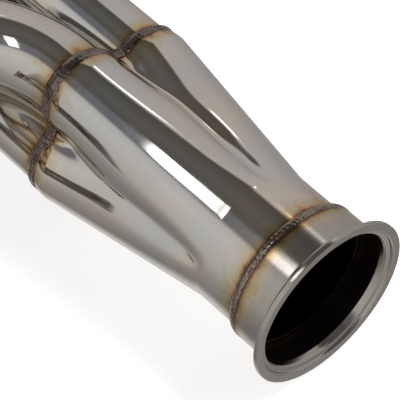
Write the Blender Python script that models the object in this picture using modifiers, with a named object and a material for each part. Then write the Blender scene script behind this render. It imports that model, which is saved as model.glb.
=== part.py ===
"""Four-into-one exhaust manifold with a V-band outlet, modelled piece by piece.

Frame: metres, +Z up. The origin is the middle of the head flange's mating face, which looks
along -Y. The four ports stand in a row along X. The primaries leave the flange along +Y, turn
to +X and meet in a formed collector whose outlet looks along +X.
"""
import math

import bmesh
import bpy
from mathutils import Matrix, Vector
from mathutils.geometry import intersect_point_line

MM = 0.001
FIT_GAP = 0.3 * MM              # clearance between neighbouring pieces

# Primary tubes
PRIMARY_OD = 40.0 * MM
PRIMARY_WALL = 1.5 * MM
BEND_RADIUS = 60.0 * MM         # centre-line radius of every mandrel bend
BUNDLE_GAP = 0.4 * MM           # between neighbouring tubes in the collector
PORT_PITCH = 94.0 * MM
PORT_COUNT = 4
TUBE_SIDES = 16
BEND_STEP = math.radians(11.25)
LEVEL_STUB = 16.3 * MM          # straight tube between the flange and the first bend
ELBOW_TANGENT = 6.0 * MM        # straight end on each elbow
COLLECTOR_LEAD = 6.0 * MM       # straight tube between the collector weld and the nearest bend
DROP_ANGLE = math.radians(50.0)     # slope of the crossing primary down to its port
CROSSING_MARGIN = math.radians(1.0)

# Collector shell, measured back along its axis from the outlet sealing face
COLLECTOR_WALL = 1.6 * MM
COLLECTOR_MOUTH = 156.0 * MM    # edge that the tubes enter
SLEEVE_LENGTH = 7.0 * MM        # parallel stretch around the tubes
CONE_END = 52.0 * MM            # the round outlet starts here
COLLECTOR_ROLL = math.radians(28.0)     # first lobe, turned from +Z towards the flange
VALLEY_STAND = 4.9 * MM         # valley floor at the mouth, outside the tubes' centres
FLUTE_END_DEPTH = 1.0 * MM      # depth of a flute where the cone ends
MOUTH_VALLEY_WIDTH = math.radians(6.0)
FLUTE_WIDTH = math.radians(13.0)
FLUTE_FULL_AT = 0.3             # share of the cone by which a flute has its full width
VALLEY_SOFTNESS = 3.0 * MM
FLUTE_RUN_OUT = 14.0 * MM       # length over which a flute closes into the round outlet
RUN_OUT_ROWS = 3
CONE_ROWS = 4
SHELL_STEPS = 72
TUBE_INSERTION = 5.0 * MM

# Outlet flange
NECK_RADIUS = 38.1 * MM
NECK_WALL = 1.5 * MM
NECK_FILLET = 1.2 * MM
SLIP_GAP = 1.0 * MM             # between the neck's bore and the collector inside it
VBAND_RIM = 6.9 * MM            # how far the rim stands out from the neck
VBAND_LENGTH = 22.6 * MM
VBAND_LIP = 2.4 * MM
VBAND_TAPER = math.radians(20.0)
STEP_INSET = 4.6 * MM           # sealing step, in from the rim's edge
STEP_DRAFT = 0.2 * MM
STEP_DEPTH = 1.4 * MM
CHAMFER = 1.3 * MM
SHELL_IN_NECK = 5.0 * MM
RING_STEPS = 40

# Head flange
FLANGE_THICKNESS = 12.0 * MM
WAIST_LAND = 9.0 * MM           # plate left around a tube at the waist
FLANGE_END_MARGIN = 37.0 * MM   # plate beyond the last port's centre
WAIST_DEPTH = 9.0 * MM
WAIST_HALF_WIDTH = 28.0 * MM
BOLT_HOLE_RADIUS = 4.4 * MM
BOLT_INSET = 9.5 * MM           # bolt centre in from the plate's long edge
END_BOLT_INSET = 11.0 * MM
FLANGE_CORNER = 8.0 * MM

# Welds
BUTT_GAP = 3.0 * MM
BEAD_HEIGHT = 0.9 * MM
BEAD_HALF_WIDTH = 2.3 * MM
FILLET_LEG = 4.2 * MM
FILLET_THROAT = 0.55            # share of the leg left halfway up a hollow fillet
COLLECTOR_BEAD = 4.0 * MM
CROWN_TOP = 0.98                # mouth bead's top, as a share of the shell's edge
CROWN_STEPS = 3
FILL_DEPTH = 4.0 * MM           # how far the mouth weld reaches in from a valley's floor
OUTLET_BEAD = 4.0 * MM
OUTLET_BEAD_CROWN = 1.6 * MM    # where the outlet bead is highest, back from the neck

# Merge spike
SPIKE_BASE = 4.0 * MM
SPIKE_LENGTH = 34.0 * MM
SPIKE_REACH = 12.0 * MM         # star points, out from the collector axis
SPIKE_SHOULDER = (0.4, 0.66)    # share of the length, and the section's scale there
SPIKE_TIP = 0.08                # the section's scale at the tip

TUBE_RADIUS = PRIMARY_OD / 2
BUNDLE_RADIUS = (PRIMARY_OD + BUNDLE_GAP) / math.sqrt(2)
LOBE_RADIUS = TUBE_RADIUS + COLLECTOR_WALL + BUNDLE_GAP
OUTLET_RADIUS = NECK_RADIUS - NECK_WALL - SLIP_GAP
VALLEY_RADIUS = BUNDLE_RADIUS + VALLEY_STAND
VBAND_RADIUS = NECK_RADIUS + VBAND_RIM
FLANGE_HALF_HEIGHT = TUBE_RADIUS + WAIST_LAND + WAIST_DEPTH
MOUTH_WELD_BACK = COLLECTOR_MOUTH + FIT_GAP + COLLECTOR_BEAD
LAST_PORT_X = PORT_PITCH * (PORT_COUNT - 1) / 2
OUTLET_X = LAST_PORT_X + BEND_RADIUS + COLLECTOR_LEAD + MOUTH_WELD_BACK
PORTS_X = [LAST_PORT_X - PORT_PITCH * index for index in range(PORT_COUNT)]

# The collector's lowest lobe stands as low as the head flange. The crossing primary climbs
# from its port over a crest, then slopes down to the collector, square to its neighbour below.
COLLECTOR_RISE = BUNDLE_RADIUS * math.cos(COLLECTOR_ROLL) + LOBE_RADIUS - FLANGE_HALF_HEIGHT
CLIMB_ANGLE = math.pi / 4 - COLLECTOR_ROLL + CROSSING_MARGIN
PORT_TANGENT = BEND_RADIUS * math.tan(DROP_ANGLE / 2)
CREST_TANGENT = BEND_RADIUS * math.tan((CLIMB_ANGLE + DROP_ANGLE) / 2)
TO_CREST = BEND_RADIUS + CREST_TANGENT + 2 * ELBOW_TANGENT
CREST_Z = (COLLECTOR_RISE + BUNDLE_RADIUS * math.cos(COLLECTOR_ROLL)
           + TO_CREST * math.sin(CLIMB_ANGLE))
FOOT_Y = FLANGE_THICKNESS + FIT_GAP + LEVEL_STUB + PORT_TANGENT
CREST_Y = FOOT_Y + CREST_Z / math.tan(DROP_ANGLE)
COLLECTOR_OFFSET = (CREST_Y + TO_CREST * math.cos(CLIMB_ANGLE)
                    + BUNDLE_RADIUS * math.sin(COLLECTOR_ROLL))

UP = Vector((0, 0, 1))
DOWNSTREAM = Vector((1, 0, 0))
TO_FLANGE = Vector((0, -1, 0))


# ---------------------------------------------------------------- scene and materials

def clear_scene():
    for thing in list(bpy.data.objects):
        bpy.data.objects.remove(thing, do_unlink=True)


def new_collection(name):
    collection = bpy.data.collections.new(name)
    bpy.context.scene.collection.children.link(collection)
    return collection


def new_material(name, colour, roughness, metallic=1.0):
    material = bpy.data.materials.new(name)
    material.use_nodes = True
    shader = material.node_tree.nodes["Principled BSDF"]
    shader.inputs["Base Color"].default_value = (*colour, 1.0)
    shader.inputs["Roughness"].default_value = roughness
    shader.inputs["Metallic"].default_value = metallic
    return material


def add_object(name, mesh, collection, material=None):
    thing = bpy.data.objects.new(name, mesh)
    collection.objects.link(thing)
    if material:
        own = material.copy()
        own.name = name + "_" + material.name
        mesh.materials.clear()
        mesh.materials.append(own)
    return thing


def smooth(thing, angle=math.radians(35)):
    thing.data.shade_smooth()
    thing.data.set_sharp_from_angle(angle=angle)


# ---------------------------------------------------------------- paths of the primaries

def straight_run(start, end):
    return {"start": start, "end": end, "length": (end - start).length}


def bend_run(start, centre, axis, angle, radius):
    return {"start": start, "centre": centre, "axis": axis, "angle": angle,
            "length": radius * angle}


def path_through(corners, radius):
    """Straight runs between the corners, joined by bends of one radius."""
    runs = []
    at = corners[0]
    for before, corner, after in zip(corners, corners[1:], corners[2:]):
        into = (corner - before).normalized()
        out = (after - corner).normalized()
        angle = into.angle(out)
        tangent = radius * math.tan(angle / 2)
        axis = into.cross(out).normalized()
        bend_start = corner - into * tangent
        runs.append(straight_run(at, bend_start))
        runs.append(bend_run(bend_start, bend_start + axis.cross(into) * radius, axis, angle, radius))
        at = corner + out * tangent
    runs.append(straight_run(at, corners[-1]))
    return runs


def point_on(run, distance):
    share = distance / run["length"]
    if "centre" not in run:
        return run["start"].lerp(run["end"], share)
    turn = Matrix.Rotation(run["angle"] * share, 3, run["axis"])
    return run["centre"] + turn @ (run["start"] - run["centre"])


def stretch(runs, first, last):
    """Points of the path between two distances along it."""
    points = []
    begin = 0.0
    for run in runs:
        low = max(first - begin, 0.0)
        high = min(last - begin, run["length"])
        if high - low > 1e-6:
            steps = 1
            if "centre" in run:
                steps = max(1, math.ceil(run["angle"] * (high - low) / run["length"] / BEND_STEP))
            own = [point_on(run, low + (high - low) * step / steps) for step in range(steps + 1)]
            points += own if not points else own[1:]
        begin += run["length"]
    return points


def lobe_direction(index):
    angle = COLLECTOR_ROLL + index * math.pi / 2
    return Vector((0, -math.sin(angle), math.cos(angle)))


def collector_point(back, outward=Vector((0, 0, 0))):
    """A point on the collector axis, measured back from the outlet face, moved outward."""
    return Vector((OUTLET_X - back, COLLECTOR_OFFSET, COLLECTOR_RISE)) + outward


def primary_corners(index):
    """Corners of primary number index + 1's path, from its port to the collector."""
    port_x = PORTS_X[index]
    in_collector = collector_point(COLLECTOR_MOUTH - TUBE_INSERTION,
                                   lobe_direction(index) * BUNDLE_RADIUS)
    turn = Vector((port_x, in_collector.y, in_collector.z))
    port = Vector((port_x, FLANGE_THICKNESS + FIT_GAP, 0))
    if index > 0:
        level = Vector((port_x, port.y + LEVEL_STUB, 0))
        return [port, level, turn, in_collector]
    return [port, Vector((port_x, FOOT_Y, 0)), Vector((port_x, CREST_Y, CREST_Z)), turn,
            in_collector]


def run_ends(runs):
    ends = [0.0]
    for run in runs:
        ends.append(ends[-1] + run["length"])
    return ends


def pieces_of(index, runs):
    """Names of a primary's pieces, and the distances of the butt joints between them.

    Every joint is on a straight stretch, and none is where another primary lies alongside.
    """
    ends = run_ends(runs)
    if index == 0:
        joints = [(ends[2] + ends[3]) / 2, (ends[4] + ends[5]) / 2]
        return ("port_bend", "crest_bend", "collector_bend"), joints
    into_elbow = ends[3] - ELBOW_TANGENT
    if index < PORT_COUNT - 1:
        return ("port_run", "collector_bend"), [into_elbow]
    return ("port_run", "elbow", "collector_run"), [into_elbow, ends[4] + ELBOW_TANGENT]


# ---------------------------------------------------------------- builders of shapes

def hollow_tube(name, points, collection, material):
    """A tube of the primaries' size along the points, open at both ends."""
    curve = bpy.data.curves.new(name, "CURVE")
    curve.dimensions = "3D"
    curve.bevel_depth = TUBE_RADIUS
    curve.bevel_resolution = (TUBE_SIDES - 4) // 2
    curve.use_fill_caps = False
    spline = curve.splines.new("POLY")
    spline.points.add(len(points) - 1)
    for place, point in zip(spline.points, points):
        place.co = (*point, 1.0)
    guide = bpy.data.objects.new(name + "_guide", curve)
    collection.objects.link(guide)
    evaluated = guide.evaluated_get(bpy.context.evaluated_depsgraph_get())
    mesh = bpy.data.meshes.new_from_object(evaluated)
    bpy.data.objects.remove(guide, do_unlink=True)
    work = bmesh.new()
    work.from_mesh(mesh)
    bmesh.ops.remove_doubles(work, verts=work.verts, dist=1e-6)
    bmesh.ops.recalc_face_normals(work, faces=work.faces)
    work.to_mesh(mesh)
    work.free()
    tube = add_object(name, mesh, collection, material)
    wall = tube.modifiers.new("wall", "SOLIDIFY")
    wall.thickness = PRIMARY_WALL
    wall.offset = -1.0 if faces_point_out(mesh, points) else 1.0
    smooth(tube)
    return tube


def faces_point_out(mesh, points):
    """Whether an open tube's faces look away from the tube's path."""
    face = mesh.polygons[0]
    feet = []
    for start, end in zip(points, points[1:]):
        foot, share = intersect_point_line(face.center, start, end)
        feet.append(foot if 0 <= share <= 1 else start)
    nearest = min(feet, key=lambda foot: (foot - face.center).length)
    return face.normal.dot(face.center - nearest) > 0


def turned(name, profile, steps, place, direction, collection, material):
    """A ring turned about `direction`: profile points are (radius, distance along it)."""
    mesh = bpy.data.meshes.new(name)
    corners = [(radius, 0, along) for radius, along in profile]
    edges = [(index, (index + 1) % len(corners)) for index in range(len(corners))]
    mesh.from_pydata(corners, edges, [])
    ring = add_object(name, mesh, collection, material)
    ring.rotation_mode = "QUATERNION"
    ring.rotation_quaternion = UP.rotation_difference(direction)
    ring.location = place
    spin = ring.modifiers.new("turn", "SCREW")
    spin.steps = steps
    spin.render_steps = steps
    spin.use_merge_vertices = True
    spin.merge_threshold = 0.00001
    spin.use_smooth_shade = False
    return ring


def around_tube(radius, steps):
    """The radius of a polygon ring whose flats clear a round of the given radius."""
    return radius / math.cos(math.pi / steps)


def lofted(name, rings, closed_rows, capped, collection, material):
    """Faces between rings of equal point counts, in a frame at the collector's outlet."""
    work = bmesh.new()
    rows = [[work.verts.new(point) for point in ring] for ring in rings]
    count = len(rings[0])
    pairs = list(zip(rows, rows[1:]))
    if closed_rows:
        pairs.append((rows[-1], rows[0]))
    for row, following in pairs:
        for index in range(count):
            nxt = (index + 1) % count
            work.faces.new((row[index], row[nxt], following[nxt], following[index]))
    if capped:
        work.faces.new(rows[0])
        work.faces.new(rows[-1])
    bmesh.ops.recalc_face_normals(work, faces=work.faces)
    mesh = bpy.data.meshes.new(name)
    work.to_mesh(mesh)
    work.free()
    return add_object(name, mesh, collection, material)


def collector_ring(back, radius_at):
    """Points around the collector axis, where radius_at gives the radius for an angle."""
    ring = []
    for step in range(SHELL_STEPS):
        angle = 2 * math.pi * step / SHELL_STEPS
        outward = Vector((0, -math.sin(angle + COLLECTOR_ROLL), math.cos(angle + COLLECTOR_ROLL)))
        ring.append(collector_point(back, outward * radius_at(angle)))
    return ring


def from_lobe(angle):
    """Angle from the nearest lobe's middle, between 0 and 45 degrees."""
    quarter = math.pi / 2
    nearest = abs(angle % quarter)
    return min(nearest, quarter - nearest)


def circle_reach(centre, radius, angle):
    """Distance from the axis to the far side of a circle at `centre`, seen at `angle`."""
    inside = radius ** 2 - (centre * math.sin(angle)) ** 2
    return centre * math.cos(angle) + math.sqrt(inside) if inside > 0 else 0.0


def shell_radius(back, angle):
    """Outer radius of the collector at a station and an angle from the first lobe."""
    cone_start = COLLECTOR_MOUTH - SLEEVE_LENGTH
    cone = min(max((cone_start - back) / (cone_start - CONE_END), 0.0), 1.0)
    centre = BUNDLE_RADIUS * (1 - cone)
    radius = LOBE_RADIUS + (OUTLET_RADIUS - LOBE_RADIUS) * cone
    off_lobe = from_lobe(angle)
    run_out = min(max((back - CONE_END) / FLUTE_RUN_OUT, 0.0), 1.0)
    floor = VALLEY_RADIUS + (OUTLET_RADIUS - FLUTE_END_DEPTH - VALLEY_RADIUS) * cone
    floor += (OUTLET_RADIUS - floor) * (1 - run_out) ** 2
    softness = VALLEY_SOFTNESS * (1 - cone)
    above = circle_reach(centre, radius, off_lobe) - floor
    above = (above + math.sqrt(above ** 2 + softness ** 2)) / 2
    width = MOUTH_VALLEY_WIDTH + (FLUTE_WIDTH - MOUTH_VALLEY_WIDTH) * min(cone / FLUTE_FULL_AT, 1.0)
    flute = math.exp(-((math.pi / 4 - off_lobe) / width) ** 2)
    return floor + above * (1 - flute)


# ---------------------------------------------------------------- pieces

def make_primaries(collection, tube_material, weld_material):
    for index in range(PORT_COUNT):
        number = str(index + 1)
        runs = path_through(primary_corners(index), BEND_RADIUS)
        names, joints = pieces_of(index, runs)
        total = run_ends(runs)[-1]
        starts = [0.0] + [joint + BUTT_GAP / 2 for joint in joints]
        stops = [joint - BUTT_GAP / 2 for joint in joints] + [total]
        for piece, start, stop in zip(names, starts, stops):
            hollow_tube("primary_" + number + "_" + piece, stretch(runs, start, stop),
                        collection, tube_material)
        for joint, side in zip(joints, ("port_side", "collector_side")):
            before, after = (stretch(runs, joint - 0.001, joint + 0.001)[place] for place in (0, -1))
            make_butt_weld("primary_" + number + "_weld_" + side, (before + after) / 2,
                           (after - before).normalized(), collection, weld_material)


def make_butt_weld(name, place, direction, collection, material):
    """A bead that fills the gap between two tube ends and stands a little proud."""
    over_tube = around_tube(TUBE_RADIUS + FIT_GAP, TUBE_SIDES)
    root = BUTT_GAP / 2 - FIT_GAP
    inner = TUBE_RADIUS - PRIMARY_WALL
    crown = over_tube + BEAD_HEIGHT
    profile = [(crown, BEAD_HALF_WIDTH / 2), (crown, -BEAD_HALF_WIDTH / 2),
               (over_tube, -BEAD_HALF_WIDTH), (over_tube, -root), (inner, -root),
               (inner, root), (over_tube, root), (over_tube, BEAD_HALF_WIDTH)]
    turned(name, profile, TUBE_SIDES, place, direction, collection, material)


def make_port_welds(collection, material):
    inner = around_tube(TUBE_RADIUS + FIT_GAP, TUBE_SIDES)
    profile = [(inner + FIT_GAP * 2, FILLET_LEG),
               (inner + FILLET_LEG * FILLET_THROAT, FILLET_LEG / 2),
               (inner + FILLET_LEG, 0), (inner, 0), (inner, FILLET_LEG)]
    for index, port_x in enumerate(PORTS_X):
        place = Vector((port_x, FLANGE_THICKNESS + FIT_GAP, 0))
        turned("port_weld_" + str(index + 1), profile, TUBE_SIDES * 2, place, -TO_FLANGE,
               collection, material)


def make_collector_shell(collection, material):
    cone_start = COLLECTOR_MOUTH - SLEEVE_LENGTH
    flute_end = CONE_END + FLUTE_RUN_OUT
    stations = [COLLECTOR_MOUTH, cone_start]
    stations += [cone_start + (flute_end - cone_start) * row / CONE_ROWS
                 for row in range(1, CONE_ROWS + 1)]
    stations += [flute_end - FLUTE_RUN_OUT * row / RUN_OUT_ROWS
                 for row in range(1, RUN_OUT_ROWS + 1)]
    stations.append(VBAND_LENGTH - SHELL_IN_NECK)
    rings = [collector_ring(back, lambda angle, back=back: shell_radius(back, angle))
             for back in stations]
    shell = lofted("collector_shell", rings, False, False, collection, material)
    wall = shell.modifiers.new("wall", "SOLIDIFY")
    wall.thickness = COLLECTOR_WALL
    axis = [collector_point(back) for back in stations]
    wall.offset = -1.0 if faces_point_out(shell.data, axis) else 1.0
    smooth(shell)


def make_mouth_weld(collection, material):
    """The bead around the collector's mouth, which also fills between neighbouring tubes."""
    def tube_outline(angle):
        reach = circle_reach(BUNDLE_RADIUS, TUBE_RADIUS + FIT_GAP * 1.5, from_lobe(angle))
        return max(reach, VALLEY_RADIUS - FILL_DEPTH)

    def shell_outline(angle):
        return shell_radius(COLLECTOR_MOUTH, angle)

    def between(share):
        return lambda angle: (tube_outline(angle) * (1 - share)
                              + max(shell_outline(angle), tube_outline(angle)) * share)

    front = COLLECTOR_MOUTH + FIT_GAP
    section = [(front, 0.0)]
    for step in range(CROWN_STEPS + 1):
        turn = math.pi / 2 * step / CROWN_STEPS
        section.append((front + COLLECTOR_BEAD * math.sin(turn), CROWN_TOP * math.cos(turn)))
    rings = [collector_ring(back, between(share)) for back, share in section]
    lofted("collector_mouth_weld", rings, True, False, collection, material)


def make_merge_spike(collection, material):
    """The four-pointed plug that closes the gap in the middle of the bundle."""
    def star(scale):
        def radius_at(angle):
            off_lobe = from_lobe(angle)
            clear = TUBE_RADIUS + FIT_GAP
            inside = clear ** 2 - (BUNDLE_RADIUS * math.sin(off_lobe)) ** 2
            near = BUNDLE_RADIUS * math.cos(off_lobe) - math.sqrt(max(inside, 0.0))
            return min(near, SPIKE_REACH) * scale
        return radius_at

    tubes_end = COLLECTOR_MOUTH - TUBE_INSERTION
    shoulder_at, shoulder_scale = SPIKE_SHOULDER
    rows = [(tubes_end + SPIKE_BASE, 1.0), (tubes_end, 1.0),
            (tubes_end - SPIKE_LENGTH * shoulder_at, shoulder_scale),
            (tubes_end - SPIKE_LENGTH, SPIKE_TIP)]
    rings = [collector_ring(back, star(scale)) for back, scale in rows]
    lofted("merge_spike", rings, False, True, collection, material)


def make_outlet(collection, flange_material, weld_material):
    bore = NECK_RADIUS - NECK_WALL
    step = VBAND_RADIUS - STEP_INSET
    lip_back = -VBAND_LIP
    taper_back = lip_back - VBAND_RIM * math.tan(VBAND_TAPER)
    profile = [(VBAND_RADIUS, 0), (VBAND_RADIUS, lip_back), (NECK_RADIUS + NECK_FILLET, taper_back),
               (NECK_RADIUS, taper_back - NECK_FILLET), (NECK_RADIUS, -VBAND_LENGTH),
               (bore, -VBAND_LENGTH), (bore, -STEP_DEPTH - CHAMFER),
               (bore + CHAMFER, -STEP_DEPTH), (step - STEP_DRAFT, -STEP_DEPTH), (step, 0)]
    turned("vband_flange", profile, RING_STEPS, collector_point(0), DOWNSTREAM, collection,
           flange_material)
    inner = around_tube(OUTLET_RADIUS + FIT_GAP, RING_STEPS)
    start = -VBAND_LENGTH - FIT_GAP
    bead = [(NECK_RADIUS - FIT_GAP, start), (NECK_RADIUS, start - OUTLET_BEAD_CROWN),
            (inner + FIT_GAP * 2, start - OUTLET_BEAD), (inner, start - OUTLET_BEAD),
            (inner, start)]
    turned("outlet_weld", bead, RING_STEPS, collector_point(0), DOWNSTREAM, collection,
           weld_material)


def cutter_cylinder(name, radius, x, z, vertices, cutters):
    bpy.ops.mesh.primitive_cylinder_add(vertices=vertices, radius=radius, depth=FLANGE_THICKNESS * 3,
                                        location=(x, FLANGE_THICKNESS / 2, z),
                                        rotation=(math.pi / 2, 0, 0))
    cutter = bpy.context.object
    cutter.name = name
    for home in list(cutter.users_collection):
        home.objects.unlink(cutter)
    cutters.objects.link(cutter)
    cutter.hide_render = True
    cutter.display_type = "WIRE"
    return cutter


def bolt_places():
    """Bolts stand between the ports and at the plate's ends, above and below the ports."""
    height = FLANGE_HALF_HEIGHT - BOLT_INSET
    end = LAST_PORT_X + FLANGE_END_MARGIN - END_BOLT_INSET
    columns = [-end] + [x - PORT_PITCH / 2 for x in PORTS_X[:-1]] + [end]
    return [(x, z) for x in columns for z in (height, -height)]


def make_head_flange(collection, cutters, material):
    half_length = LAST_PORT_X + FLANGE_END_MARGIN
    bpy.ops.mesh.primitive_cube_add(size=1, location=(0, FLANGE_THICKNESS / 2, 0))
    plate = bpy.context.object
    plate.name = "head_flange"
    plate.data.name = "head_flange"
    plate.scale = (2 * half_length, FLANGE_THICKNESS, 2 * FLANGE_HALF_HEIGHT)
    bpy.ops.object.transform_apply(location=False, rotation=False, scale=True)
    for home in list(plate.users_collection):
        home.objects.unlink(plate)
    collection.objects.link(plate)
    own = material.copy()
    own.name = "head_flange_" + material.name
    plate.data.materials.append(own)
    corner_edges = [edge for edge in plate.data.edges if edge_runs_along_y(plate.data, edge)]
    weights = plate.data.attributes.new("bevel_weight_edge", "FLOAT", "EDGE")
    for edge in corner_edges:
        weights.data[edge.index].value = 1.0
    rounding = plate.modifiers.new("corners", "BEVEL")
    rounding.limit_method = "WEIGHT"
    rounding.width = FLANGE_CORNER
    rounding.segments = 5

    waist_radius = (WAIST_HALF_WIDTH ** 2 + WAIST_DEPTH ** 2) / (2 * WAIST_DEPTH)
    waist_height = FLANGE_HALF_HEIGHT - WAIST_DEPTH + waist_radius
    for index, x in enumerate(PORTS_X):
        number = str(index + 1)
        cutter_cylinder("port_cutter_" + number, TUBE_RADIUS - PRIMARY_WALL, x, 0, 32, cutters)
        cutter_cylinder("upper_waist_" + number, waist_radius, x, waist_height, 64, cutters)
        cutter_cylinder("lower_waist_" + number, waist_radius, x, -waist_height, 64, cutters)
    for index, (x, z) in enumerate(bolt_places()):
        cutter_cylinder("bolt_cutter_" + str(index + 1), BOLT_HOLE_RADIUS, x, z, 16, cutters)
    cut = plate.modifiers.new("openings", "BOOLEAN")
    cut.operation = "DIFFERENCE"
    cut.operand_type = "COLLECTION"
    cut.collection = cutters
    cut.solver = "EXACT"


def edge_runs_along_y(mesh, edge):
    start, end = (mesh.vertices[index].co for index in edge.vertices)
    return abs(start.x - end.x) < 1e-6 and abs(start.z - end.z) < 1e-6


def main():
    clear_scene()
    manifold = new_collection("exhaust_manifold")
    cutters = new_collection("cutters")
    polished = new_material("polished_stainless", (0.62, 0.61, 0.59), 0.16)
    machined = new_material("machined_stainless", (0.55, 0.53, 0.52), 0.32)
    plate = new_material("satin_stainless", (0.50, 0.49, 0.48), 0.38)
    weld = new_material("heat_tinted_weld", (0.22, 0.17, 0.16), 0.34)
    make_head_flange(manifold, cutters, plate)
    make_primaries(manifold, polished, weld)
    make_port_welds(manifold, weld)
    make_collector_shell(manifold, polished)
    make_mouth_weld(manifold, weld)
    make_merge_spike(manifold, polished)
    make_outlet(manifold, machined, weld)


main()
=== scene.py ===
"""Looks of the exhaust manifold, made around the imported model.

Four buffed stainless primaries run from a milled head flange into a formed merge collector,
which ends in a lathe-turned V-band flange. TIG beads with heat tint join the pieces. Every piece
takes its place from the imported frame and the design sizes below.
"""
import math

import bpy
import numpy as np
from mathutils import Matrix, Vector


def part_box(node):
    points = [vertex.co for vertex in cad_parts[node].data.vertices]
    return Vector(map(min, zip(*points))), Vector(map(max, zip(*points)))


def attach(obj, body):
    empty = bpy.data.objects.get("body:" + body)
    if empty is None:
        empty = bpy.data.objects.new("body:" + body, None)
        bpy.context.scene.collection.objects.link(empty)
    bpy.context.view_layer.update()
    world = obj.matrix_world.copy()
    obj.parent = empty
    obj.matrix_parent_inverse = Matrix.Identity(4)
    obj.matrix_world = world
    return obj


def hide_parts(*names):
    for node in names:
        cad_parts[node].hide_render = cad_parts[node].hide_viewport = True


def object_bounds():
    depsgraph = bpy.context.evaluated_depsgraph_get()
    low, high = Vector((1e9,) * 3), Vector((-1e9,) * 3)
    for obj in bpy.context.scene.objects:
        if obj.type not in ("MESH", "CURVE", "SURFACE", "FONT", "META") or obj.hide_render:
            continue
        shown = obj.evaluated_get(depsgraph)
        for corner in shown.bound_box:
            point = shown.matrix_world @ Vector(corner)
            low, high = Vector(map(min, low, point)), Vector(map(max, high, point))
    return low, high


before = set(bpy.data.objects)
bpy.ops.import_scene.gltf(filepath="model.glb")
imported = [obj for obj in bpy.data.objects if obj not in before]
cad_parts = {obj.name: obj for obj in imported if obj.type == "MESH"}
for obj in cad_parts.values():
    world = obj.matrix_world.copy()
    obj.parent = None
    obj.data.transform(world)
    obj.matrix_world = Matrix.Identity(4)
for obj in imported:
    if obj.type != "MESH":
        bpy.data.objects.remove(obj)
cad_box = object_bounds()

MM = 0.001

# ------------------------------------------------------------------ places read from the frame

vband_low, vband_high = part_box("vband_flange")
OUTLET_X = vband_high[0]
AXIS_Y = (vband_low[1] + vband_high[1]) / 2
AXIS_Z = (vband_low[2] + vband_high[2]) / 2
flange_low, flange_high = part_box("head_flange")
FLANGE_BACK = flange_high[1]
FLOOR_Z = cad_box[0][2]
PORT_COUNT = 4


def box_middle(name):
    low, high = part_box(name)
    return Vector([(a + b) / 2 for a, b in zip(low, high)])


PORTS_X = [box_middle("port_weld_" + str(index + 1)).x for index in range(PORT_COUNT)]

# ------------------------------------------------------------------ sizes, as in the design

TUBE_RADIUS = 20.0 * MM
TUBE_WALL = 1.5 * MM
FIT_GAP = 0.3 * MM
BUNDLE_GAP = 0.4 * MM
BEND_RADIUS = 60.0 * MM
BUNDLE_RADIUS = (2 * TUBE_RADIUS + BUNDLE_GAP) / math.sqrt(2)
COLLECTOR_ROLL = math.radians(28.0)
LEVEL_STUB = 16.3 * MM
ELBOW_TANGENT = 6.0 * MM
DROP_ANGLE = math.radians(50.0)
CLIMB_ANGLE = math.pi / 4 - COLLECTOR_ROLL + math.radians(1.0)
TUBE_INSERTION = 5.0 * MM

COLLECTOR_MOUTH = 156.0 * MM    # all of these are measured back from the outlet face
SLEEVE_LENGTH = 7.0 * MM
CONE_END = 52.0 * MM
SHELL_OUTLET = 17.6 * MM
OUTLET_RADIUS = 35.6 * MM
LOBE_RADIUS = 22.0 * MM
SHELL_WALL = 1.6 * MM
VALLEY_RADIUS = BUNDLE_RADIUS + 4.9 * MM
VALLEY_SINK = 3.5 * MM          # how much deeper the valley is just behind the mouth
VALLEY_SOFTNESS = 1.5 * MM
LOBE_HOLD = 1.25                # how long the lobes stay round down the cone, 1 for evenly
FOLD_SOFTNESS = math.radians(2.5)
FLUTE_DEPTH = 2.6 * MM
FLUTE_STARTS = 0.3              # shares of the cone
FLUTE_FULL = 0.7
FLUTE_WIDTH = math.radians(12.0)
FLUTE_TIP_WIDTH = math.radians(7.5)
FLUTE_END = 48.5 * MM
FLUTE_RUN_OUT = 19.0 * MM

VBAND_RADIUS = 45.0 * MM
VBAND_LENGTH = 22.6 * MM
NECK_RADIUS = 38.1 * MM
NECK_BORE = 36.6 * MM

UP = Vector((0, 0, 1))
DOWNSTREAM = Vector((1, 0, 0))
TO_FLANGE = Vector((0, -1, 0))
FROM_FLANGE = Vector((0, 1, 0))


def on_axis(back, outward=Vector((0, 0, 0))):
    """A point on the collector axis, measured back from the outlet face, moved outward."""
    return Vector((OUTLET_X - back, AXIS_Y, AXIS_Z)) + outward


def around_axis(angle):
    """The outward direction at an angle from the first lobe."""
    turned_angle = angle + COLLECTOR_ROLL
    return Vector((0, -math.sin(turned_angle), math.cos(turned_angle)))


# ------------------------------------------------------------------ paths of the primaries

def path_through(corners, radius):
    """Straight runs between the corners, joined by bends of one radius."""
    runs = []
    at = corners[0]
    for before, corner, after in zip(corners, corners[1:], corners[2:]):
        into = (corner - before).normalized()
        out = (after - corner).normalized()
        angle = into.angle(out)
        tangent = radius * math.tan(angle / 2)
        axis = into.cross(out).normalized()
        start = corner - into * tangent
        runs.append({"start": at, "end": start, "length": (start - at).length})
        runs.append({"start": start, "centre": start + axis.cross(into) * radius, "axis": axis,
                     "angle": angle, "length": radius * angle})
        at = corner + out * tangent
    runs.append({"start": at, "end": corners[-1], "length": (corners[-1] - at).length})
    return runs


def point_on(run, distance):
    share = distance / run["length"]
    if "centre" not in run:
        return run["start"].lerp(run["end"], share)
    turn = Matrix.Rotation(run["angle"] * share, 3, run["axis"])
    return run["centre"] + turn @ (run["start"] - run["centre"])


BEND_STEP = math.radians(3)
STRAIGHT_STEP = 4 * MM
SHORTEST_PIECE = 1e-6


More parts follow.
